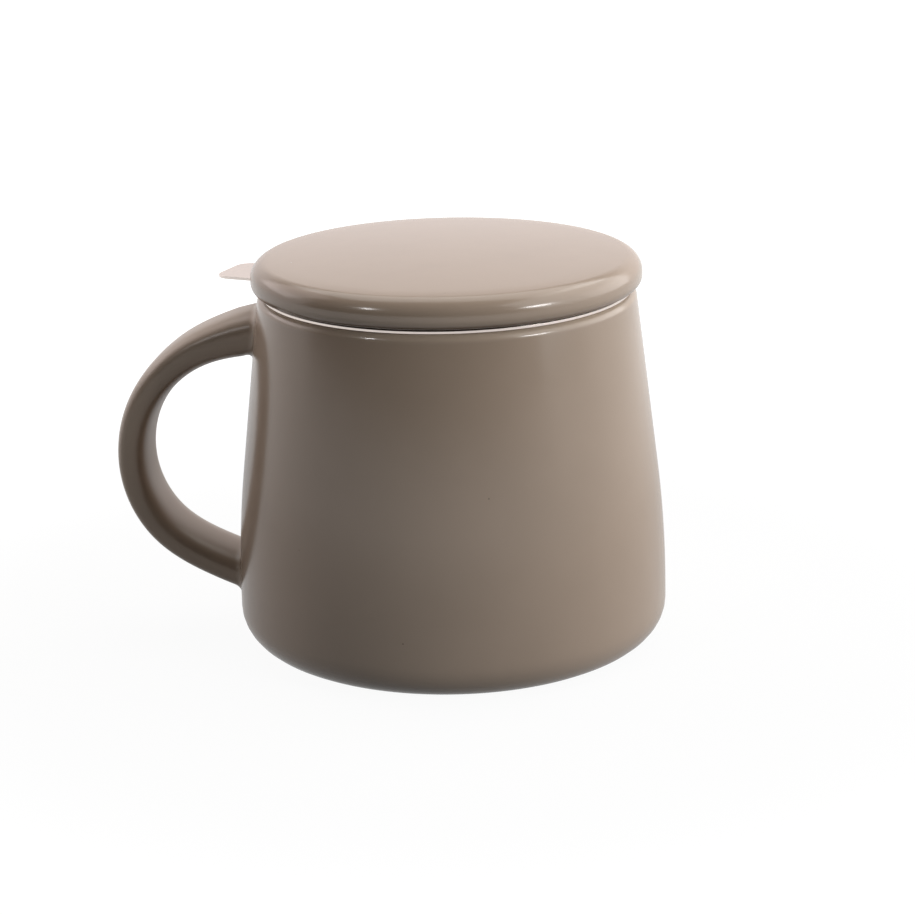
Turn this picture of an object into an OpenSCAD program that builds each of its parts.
// Lidded tea mug with a lift-out infuser, all lengths in millimetres.
// The origin is on the mug's axis at the plane of its foot, +Z is up, and the handle points along -X.

/* [Mug] */
// Widest outer diameter, low on the belly
belly_d = 100; // [92:1:120]
// Height of the widest place
belly_z = 9.6; // [9:0.2:14]
// Height of the rim
rim_z = 82; // [74:1:110]
// Outer diameter at the rim, measured to the sharp corner
rim_d = 86.5; // [80:0.5:92]
// Height where the bowed lower flank turns into the straight upper flank
knee_z = 40; // [28:1:60]
// Radius of the round between the foot and the flank
belly_round = 8; // [5:0.5:8.5]
// Thickness of the wall, square to the flank
wall_t = 4.2; // [3.4:0.1:5.5]
// Thickness of the bottom
bottom_t = 4.4; // [3:0.1:8]
// Radius of the round inside, between the bottom and the wall
cavity_round = 7; // [3:0.5:10]
// Round on the outer edge of the rim
rim_round_out = 2; // [0.8:0.1:2.4]
// Round on the inner edge of the rim
rim_round_in = 1.2; // [0.6:0.1:1.4]
// Width of the ring that the mug stands on
foot_w = 5; // [3:0.5:9]
// Depth of the recess inside that ring
foot_recess = 1.6; // [0.8:0.1:3]

/* [Handle] */
// How far the upper root's middle lies below the rim
handle_drop = 9.2; // [9:0.2:20]
// Height of the lower root's middle
handle_foot_z = 13.6; // [13:0.2:30]
// How far the handle's centre line stands out past the belly
handle_reach = 26; // [18:0.5:40]
// Width of the handle, across the hand
handle_w = 17; // [10:0.5:22]
// Thickness of the handle below its upper root, where it is thinnest
handle_t = 6.6; // [5:0.2:10]
// Thickness of the handle at its lower root
handle_foot_t = 7.4; // [6:0.2:12]
// Growth of each side of the section right at the upper root
root_flare = 2.2; // [0:0.2:4]
// Length over which that growth dies away
root_flare_l = 16; // [6:0.5:24]
// Round where the handle runs into the mug, at both roots
root_round = 1.6; // [0.8:0.1:2.4]

/* [Lid] */
// Diameter of the lid
lid_d = 89.4; // [84:0.2:96]
// Height of the lid's edge, without its crown
lid_edge_h = 6.95; // [6.6:0.05:12]
// Rise of the crowned top above a flat top
lid_crown = 1.45; // [0.6:0.05:5]
// Round on the upper edge
lid_round_top = 4; // [2:0.1:4.4]
// Round on the lower edge
lid_round_low = 2.2; // [1:0.1:2.4]
// Height of the narrow seat under the lid, which makes the shadow line above the steel
lid_seat_h = 0.45; // [0.2:0.05:1]
// Width of that seat
lid_seat_w = 2; // [1:0.1:2.4]
// Depth of the locating ring below the seat
lid_ring_h = 5; // [3:0.2:8]
// Thickness of the locating ring
lid_ring_t = 3.4; // [2.5:0.1:6]
// Depth of the hollow in the lid's underside, above the seat
lid_hollow = 2.4; // [0.5:0.1:3.4]

/* [Infuser] */
// Thickness of the pressed rim and of the base ring
rim_sheet = 0.6; // [0.4:0.05:1]
// Thickness of the perforated sheet
mesh_sheet = 0.5; // [0.3:0.05:0.8]
// Depth of the infuser below the mug's rim
infuser_depth = 64.6; // [50:0.2:68]
// Depth of the plain neck pressed down from the flange
neck_h = 10; // [7:0.5:16]
// How far the perforated sleeve reaches up inside the neck
sleeve_lap = 6; // [3:0.5:6]
// Radius of the bend between the flange and the neck, on its lower side
neck_bend = 1.5; // [0.8:0.1:2]
// How far the flange stays inside the rim's outer corner
flange_inset = 0.95; // [0.4:0.05:1.6]
// How far the lifting tab stands out past the mug's rim
tab_reach = 13.3; // [6:0.5:20]
// Width of the lifting tab
tab_w = 15; // [10:0.5:24]
// Round on the tab's corners
tab_round = 3.7; // [1:0.1:4.8]
// Round where the tab runs into the flange
tab_fillet = 3; // [1:0.5:5]
// Angle from the handle round to the tab, seen from above
tab_turn = 16.5; // [0:0.5:90]
// Height of the ring that holds the floor to the sleeve
base_ring_h = 4; // [3:0.2:7]
// Width of the ring's lip under the floor
base_lip_w = 3.6; // [2.4:0.2:6]
// Height by which the floor is pressed up inside its edge
floor_rise = 2.8; // [1:0.1:4]

/* [Perforation] */
// Diameter of one hole
hole_d = 1.8; // [1:0.1:2.4]
// Number of holes in one full row round the sleeve
holes_round = 44; // [24:1:48]
// Height from one row to the next
row_pitch = 3.6; // [3.2:0.1:7]
// Plain margin above and below the rows
row_margin = 2.6; // [2:0.1:8]
// Width of the plain strip where the sleeve's ends are lapped
seam_w = 7; // [5:0.5:14]
// Distance between the rings of holes in the floor
floor_pitch = 4.2; // [3.4:0.1:7]

/* [Clearances] */
// Gap between the infuser's neck and the mouth of the mug
mouth_gap = 1; // [0.6:0.1:1.6]
// Gap between the sleeve and the lid's locating ring
lid_gap = 0.7; // [0.4:0.1:1.5]
// Gap between sheets that are spot-welded one inside the other
lap_gap = 0.05; // [0.02:0.01:0.1]

/* [Hidden] */
$fn = 96;
GLAZE = [0.47, 0.42, 0.37];
STEEL = [0.80, 0.79, 0.78];

// The mug's flank, from the radius: a straight upper part that leans in, and a bow that leaves the
// belly upright and meets the straight part at the knee without a corner.
belly_r = belly_d / 2;
rim_r = rim_d / 2;
// tan(lean / 2), found by substitution from the bow's height, the straight part's height and the taper
function half_lean(t, bow, straight, taper, steps) =
  steps == 0 ? t : half_lean(taper / (bow + 2 * straight / (1 - t * t)), bow, straight, taper, steps - 1);
lean = 2 * atan(half_lean(0, knee_z - belly_z, rim_z - knee_z, belly_r - rim_r, 8));
bow_r = (knee_z - belly_z) / sin(lean);
bow_at = [belly_r - bow_r, belly_z];
// Radius of the straight flank at a height, moved in by an inset
function flank_r(z, inset) = bow_at[0] + (bow_r - inset - (z - bow_at[1]) * sin(lean)) / cos(lean);
// Radius of the bowed flank at a height, moved in by an inset
function bow_side_r(z, inset) = bow_at[0] + sqrt(pow(bow_r - inset, 2) - pow(z - bow_at[1], 2));
function side_r(z, inset) = z > knee_z ? flank_r(z, inset) : bow_side_r(z, inset);

mouth_r = flank_r(rim_z, wall_t);
floor_z = foot_recess + bottom_t;

// The infuser's radii follow from the mouth of the mug, from the outside to the inside.
neck_r = mouth_r - mouth_gap;
sleeve_r = neck_r - rim_sheet - lap_gap;
sleeve_in_r = sleeve_r - mesh_sheet;
lid_ring_r = sleeve_in_r - lid_gap;
flange_r = rim_r - flange_inset;
flange_top_z = rim_z + rim_sheet;
infuser_z = rim_z - infuser_depth;
floor_sheet_z = infuser_z + rim_sheet;
sleeve_z = floor_sheet_z + mesh_sheet;
sleeve_top_z = rim_z - neck_h + sleeve_lap;
base_ring_top_z = infuser_z + base_ring_h;
// Angle of the sleeve's seam, opposite the tab
tab_angle = 180 - tab_turn;
seam_angle = tab_angle + 180;

lid_z = flange_top_z + lid_seat_h;
lid_r = lid_d / 2;
lid_top_z = lid_z + lid_edge_h + lid_crown;

// How far a cut runs past what it cuts
past = 1;
// How far a round stands proud of the line or arc that it meets, so that the two cross and leave no
// sliver where they would only touch
proud = 0.002;
// Sides of a circle that is far larger than the piece whose surface it gives
big_arc_sides = 720;
// The bow runs this many degrees past the knee, to end inside the straight flank
bow_overrun = 1;
function turned(a) = [cos(a), sin(a)];

// Half of a section through a bowed body of revolution. inset moves the flank in, low is its flat
// bottom, corner the round above it, high its flat top, and edge the round below that.
module bowed_section(inset, low, corner, high, edge) {
  corner_z = low + corner;
  corner_at = [bow_side_r(corner_z, inset + corner), corner_z];
  toward = (corner_at - bow_at) / norm(corner_at - bow_at);
  side_arc_r = bow_r - inset - proud;
  knee = bow_at + (side_arc_r - proud) * turned(lean);
  edge_at = [flank_r(high - edge, inset + edge), high - edge];
  polygon([[0, low], [corner_at[0], low], corner_at, bow_at + (side_arc_r - proud) * toward, knee,
    edge_at + (edge - 2 * proud) * turned(lean), edge_at, [edge_at[0], high], [0, high]]);
  translate(corner_at) circle(corner);
  if (edge > 0) translate(edge_at) circle(edge);
  intersection() {
    translate(bow_at) circle(side_arc_r, $fn = big_arc_sides);
    polygon([bow_at + (side_arc_r - past) * toward, bow_at + (side_arc_r + past) * toward,
      bow_at + (side_arc_r + past) * turned(lean + bow_overrun),
      bow_at + (side_arc_r - past) * turned(lean + bow_overrun)]);
  }
}

// The solid inside the mug's outer surface
module mug_envelope() {
  rotate_extrude() bowed_section(0, 0, belly_round, rim_z, rim_round_out);
}

// The rim's inner edge, taken away outside its round
module lip_cut() {
  lip_at = [flank_r(rim_z - rim_round_in, wall_t - rim_round_in), rim_z - rim_round_in];
  difference() {
    polygon([lip_at, [lip_at[0], rim_z + past], [mouth_r - 2 * past, rim_z + past],
      lip_at - (rim_round_in + 2 * past) * turned(lean)]);
    translate(lip_at) circle(rim_round_in + 3 * proud);
  }
}

module mug_body() {
  foot_in_r = bow_side_r(belly_round, belly_round) - foot_w;
  color(GLAZE) rotate_extrude() difference() {
    bowed_section(0, 0, belly_round, rim_z, rim_round_out);
    bowed_section(wall_t, floor_z, cavity_round, rim_z + past, 0);
    lip_cut();
    polygon([[0, -past], [foot_in_r, -past], [foot_in_r, 0], [foot_in_r - foot_recess, foot_recess],
      [0, foot_recess]]);
  }
}

// The handle is a soft-cornered section swept along a smooth curve, from root to root.
handle_top_z = rim_z - handle_drop;
handle_span = handle_top_z - handle_foot_z;
// How deep both ends are started inside the wall, before they are cut to the mug's surface
root_sink = 2;
handle_rings = 57;
// How strongly the rings crowd towards both roots, 0 for even spacing
ring_crowding = 0.7;
handle_sides = 28;
// Squareness of the section, 2 for an ellipse
section_power = 3;
// How much wider the lower root is, as a share of the width
foot_widening = 0.12;
// Growth across the hand at the roots, as a share of root_flare
side_flare = 0.6;
function handle_point(out, up) = [belly_r + out * handle_reach, handle_foot_z + up * handle_span];
handle_curve = [
  [side_r(handle_top_z, root_sink), handle_top_z],
  handle_point(0.395, 0.935),
  handle_point(0.91, 0.70),
  handle_point(1, 0.41),
  handle_point(0.755, 0.185),
  handle_point(0.365, 0.075),
  [side_r(handle_foot_z, root_sink), handle_foot_z]
];
last = len(handle_curve) - 1;
// The curve's points with one more at each end, so that the spline starts and ends on it
spline = concat([2 * handle_curve[0] - handle_curve[1]], handle_curve,
  [2 * handle_curve[last] - handle_curve[last - 1]]);
// Place and direction on a uniform cubic spline, u from 0 at the upper root to 1 at the lower
function spline_at(weights, i) =
  weights[0] * spline[i] + weights[1] * spline[i + 1] + weights[2] * spline[i + 2]
    + weights[3] * spline[i + 3];
function place(u) =
  let (i = min(floor(u * last), last - 1), t = u * last - i)
  spline_at([pow(1 - t, 3), 3 * pow(t, 3) - 6 * t * t + 4, -3 * pow(t, 3) + 3 * t * t + 3 * t + 1,
    pow(t, 3)] / 6, i);
function heading(u) =
  let (i = min(floor(u * last), last - 1), t = u * last - i,
    d = spline_at([-pow(1 - t, 2), 3 * t * t - 4 * t, -3 * t * t + 2 * t + 1, t * t], i))
  d / norm(d);
// Growth of the section near the roots
function flare(u) =
  root_flare * exp(-max(0, norm(place(u) - handle_curve[0]) - root_sink) / root_flare_l);
function half_t(u) = handle_t / 2 + (handle_foot_t - handle_t) / 2 * pow(u, 2) + flare(u);
function half_w(u) = handle_w / 2 * (1 + foot_widening * pow(u, 3)) + side_flare * flare(u);
function soft(c) = sign(c) * pow(abs(c), 2 / section_power);
// Height of a point above the mug's flank
function above_flank(p) = (norm([p[0], p[1]]) - side_r(p[2], 0)) * cos(lean);
// Growth of the section at a height above the flank, a quarter round that ends flat on the mug
function blend(height) =
  let (down = root_round - max(0, min(height, root_round)))
  root_round - sqrt(pow(root_round, 2) - pow(down, 2));
function handle_ring(u) =
  let (at = place(u), d = heading(u), out = [-d[1], d[0]])
  [for (k = [0 : handle_sides - 1])
    let (a = 360 * k / handle_sides, r = at + out * half_t(u) * soft(cos(a)),
      p = [-r[0], half_w(u) * soft(sin(a)), r[1]])
    p + blend(above_flank(p)) * [-out[0] * cos(a), sin(a), out[1] * cos(a)]];

// A closed skin over rings of equal length, in order
module skin(rings) {
  n = len(rings[0]);
  m = len(rings);
  points = [for (ring = rings) each ring];
  sides = [for (j = [0 : m - 2], k = [0 : n - 1])
    let (a = j * n + k, b = j * n + (k + 1) % n)
    each [[a, a + n, b + n], [a, b + n, b]]];
  polyhedron(points, concat(sides, [[for (k = [0 : n - 1]) k]],
    [[for (k = [0 : n - 1]) m * n - 1 - k]]));
}

module handle() {
  color(GLAZE) difference() {
    skin([for (j = [0 : handle_rings - 1])
      let (u = j / (handle_rings - 1))
      handle_ring(u - ring_crowding * sin(360 * u) / (2 * PI))]);
    mug_envelope();
  }
}

// The outer quarter of a disc, above (1) or below (-1) its centre, with a little more past the
// centre so that it overlaps what it joins
module outer_round(at, r, side) {
  translate(at) intersection() {
    circle(r);
    translate([-r / 4, side > 0 ? -r / 4 : -r]) square(5 / 4 * r);
  }
}

// The lid is a crowned disc with soft edges, a narrow seat and a ring that drops into the infuser.
module lid_section() {
  corner_at = [lid_r - lid_round_top, lid_z + lid_edge_h - lid_round_top];
  low_at = [lid_r - lid_round_low, lid_z + lid_round_low];
  drop = lid_top_z - corner_at[1];
  crown_r = (pow(corner_at[0], 2) + drop * drop - pow(lid_round_top, 2)) / (2 * (drop - lid_round_top));
  crown_at = [0, lid_top_z - crown_r];
  toward = (corner_at - crown_at) / norm(corner_at - crown_at);
  polygon([[0, lid_z], [low_at[0], lid_z], low_at, [lid_r, low_at[1]], [lid_r, corner_at[1]], corner_at,
    [0, corner_at[1]]]);
  outer_round(low_at, lid_round_low, -1);
  outer_round(corner_at, lid_round_top, 1);
  intersection() {
    translate(crown_at) circle(crown_r - proud, $fn = big_arc_sides);
    polygon([[0, corner_at[1] - past], corner_at - past * toward, corner_at + 2 * lid_round_top * toward,
      [0, lid_top_z + past]]);
  }
}

module lid_ring_section() {
  round_r = lid_ring_t / 3;
  ring_z = flange_top_z - lid_ring_h;
  in_r = lid_ring_r - lid_ring_t;
  polygon([[in_r, lid_z + lid_hollow], [in_r, ring_z + round_r], [in_r + round_r, ring_z],
    [lid_ring_r - round_r, ring_z], [lid_ring_r, ring_z + round_r], [lid_ring_r, lid_z + lid_hollow]]);
  translate([in_r + round_r, ring_z + round_r]) circle(round_r);
  translate([lid_ring_r - round_r, ring_z + round_r]) circle(round_r);
}

module lid() {
  seat_in_r = neck_r + neck_bend;
  color(GLAZE) rotate_extrude() {
    difference() {
      lid_section();
      translate([0, lid_z - past]) square([lid_ring_r - lid_ring_t, lid_hollow + past]);
    }
    lid_ring_section();
    translate([seat_in_r, flange_top_z]) square([lid_seat_w, 2 * lid_seat_h]);
  }
}

// The infuser's rim is one pressing: a flat flange with a lifting tab, bent down into a plain neck.
module tab_outline() {
  tip_r = flange_r + flange_inset + tab_reach;
  tip_at = tip_r - tab_round;
  side = tab_w / 2;
  fillet_at = [sqrt(pow(flange_r + tab_fillet, 2) - pow(side + tab_fillet, 2)), side + tab_fillet];
  // The tab starts in the middle of the flange, so that the two overlap
  root_r = (flange_r + neck_r) / 2;
  translate([root_r, -side]) square([tip_at - root_r, tab_w]);
  translate([tip_at - past, tab_round - side]) square([tab_round + past, tab_w - 2 * tab_round]);
  for (s = [-1, 1]) {
    translate([tip_at, s * (side - tab_round)]) circle(tab_round);
    mirror([0, s < 0 ? 1 : 0]) difference() {
      polygon([[root_r, 0], [fillet_at[0], 0], [fillet_at[0], side], fillet_at,
        fillet_at * (flange_r - past) / norm(fillet_at)]);
      translate(fillet_at) circle(tab_fillet + proud);
    }
  }
}

module infuser_rim() {
  bend_at = [neck_r + neck_bend, rim_z - neck_bend];
  color(STEEL) {
    rotate_extrude() {
      translate([neck_r - rim_sheet, rim_z - neck_h]) square([rim_sheet, neck_h - neck_bend]);
      intersection() {
        translate([bend_at[0] - neck_bend - rim_sheet, bend_at[1]]) square(neck_bend + rim_sheet);
        difference() {
          translate(bend_at) circle(neck_bend + rim_sheet);
          translate(bend_at) circle(neck_bend);
        }
      }
    }
    translate([0, 0, rim_z]) linear_extrude(rim_sheet) difference() {
      union() {
        circle(flange_r);
        rotate(tab_angle) tab_outline();
      }
      circle(bend_at[0]);
    }
  }
}

// The sleeve is a sheet with staggered rows of holes, rolled to a tube and lapped at its seam.
rows_z = base_ring_top_z + row_margin;
rows_room = rim_z - neck_h - row_margin - rows_z;
row_count = floor(rows_room / row_pitch) + 1;
// The rows are centred in the room that they have
first_row_z = rows_z + (rows_room - (row_count - 1) * row_pitch) / 2;
seam_half_angle = asin(seam_w / 2 / sleeve_r);
// How far the lap stands out of the sleeve, as a share of the sheet's thickness
lap_step = 0.9;
hole_angle = asin(hole_d / 2 / sleeve_r);
// Whether a hole at an angle from the seam, a full turn or less, is clear of the lap
function off_seam(a) = min(a, 360 - a) > seam_half_angle + 2 * hole_angle;
hole_sides = 16;

module sleeve_holes(row) {
  shift = row % 2 / 2;
  for (i = [0 : holes_round - 1]) {
    angle = (i + shift) * 360 / holes_round;
    if (off_seam(angle))
      rotate(angle) translate([sleeve_in_r - past, 0, first_row_z + row * row_pitch])
        rotate([0, 90, 0]) cylinder(h = mesh_sheet + 2 * past, d = hole_d, $fn = hole_sides);
  }
}

module infuser_sleeve() {
  color(STEEL) rotate(seam_angle) {
    difference() {
      translate([0, 0, sleeve_z]) cylinder(h = sleeve_top_z - sleeve_z, r = sleeve_r);
      translate([0, 0, sleeve_z - past])
        cylinder(h = sleeve_top_z - sleeve_z + 2 * past, r = sleeve_in_r);
      for (row = [0 : row_count - 1]) sleeve_holes(row);
    }
    // The lap shows as a second thickness of sheet between the neck and the base ring. It starts
    // in the middle of the sleeve's own sheet and stands out by the lap's step.
    translate([0, 0, base_ring_top_z + lap_gap])
      rotate_extrude(angle = 2 * seam_half_angle, start = -seam_half_angle)
        translate([sleeve_r - mesh_sheet / 2, 0])
          square([mesh_sheet / 2 + lap_step * mesh_sheet, rim_z - neck_h - base_ring_top_z - 2 * lap_gap]);
  }
}

// The floor is a perforated disc, pressed up inside a flat edge that the base ring holds.
module infuser_floor() {
  edge_in_r = sleeve_in_r - base_lip_w;
  top_r = edge_in_r - floor_rise;
  rings = floor((top_r - hole_d) / floor_pitch);
  // The perforated middle and the pressed slope overlap a little inside the slope's upper edge
  middle_r = top_r - mesh_sheet;
  color(STEEL) translate([0, 0, floor_sheet_z]) {
    rotate_extrude() polygon([[edge_in_r, 0], [sleeve_r, 0], [sleeve_r, mesh_sheet], [edge_in_r, mesh_sheet],
      [top_r, mesh_sheet + floor_rise], [middle_r, mesh_sheet + floor_rise], [middle_r, floor_rise],
      [top_r, floor_rise]]);
    translate([0, 0, floor_rise]) linear_extrude(mesh_sheet) difference() {
      circle((middle_r + top_r) / 2);
      circle(d = hole_d, $fn = hole_sides);
      for (ring = [1 : rings], i = [0 : 6 * ring - 1])
        rotate(i * 60 / ring) translate([ring * floor_pitch, 0]) circle(d = hole_d, $fn = hole_sides);
    }
  }
}

// The base ring is an angle section, pressed round the foot of the sleeve and under the floor's edge.
module infuser_base_ring() {
  bend = 2 * rim_sheet;
  lip_r = sleeve_in_r - base_lip_w;
  color(STEEL) rotate_extrude() difference() {
    union() {
      translate([lip_r, infuser_z]) square([neck_r - bend - lip_r, base_ring_h]);
      translate([neck_r - bend, infuser_z + bend]) square([bend, base_ring_h - bend]);
      translate([neck_r - bend, infuser_z + bend]) circle(bend);
    }
    translate([lip_r - past, floor_sheet_z]) square([sleeve_r + lap_gap - lip_r + past, base_ring_h]);
  }
}

mug_body();
handle();
lid();
infuser_rim();
infuser_sleeve();
infuser_floor();
infuser_base_ring();
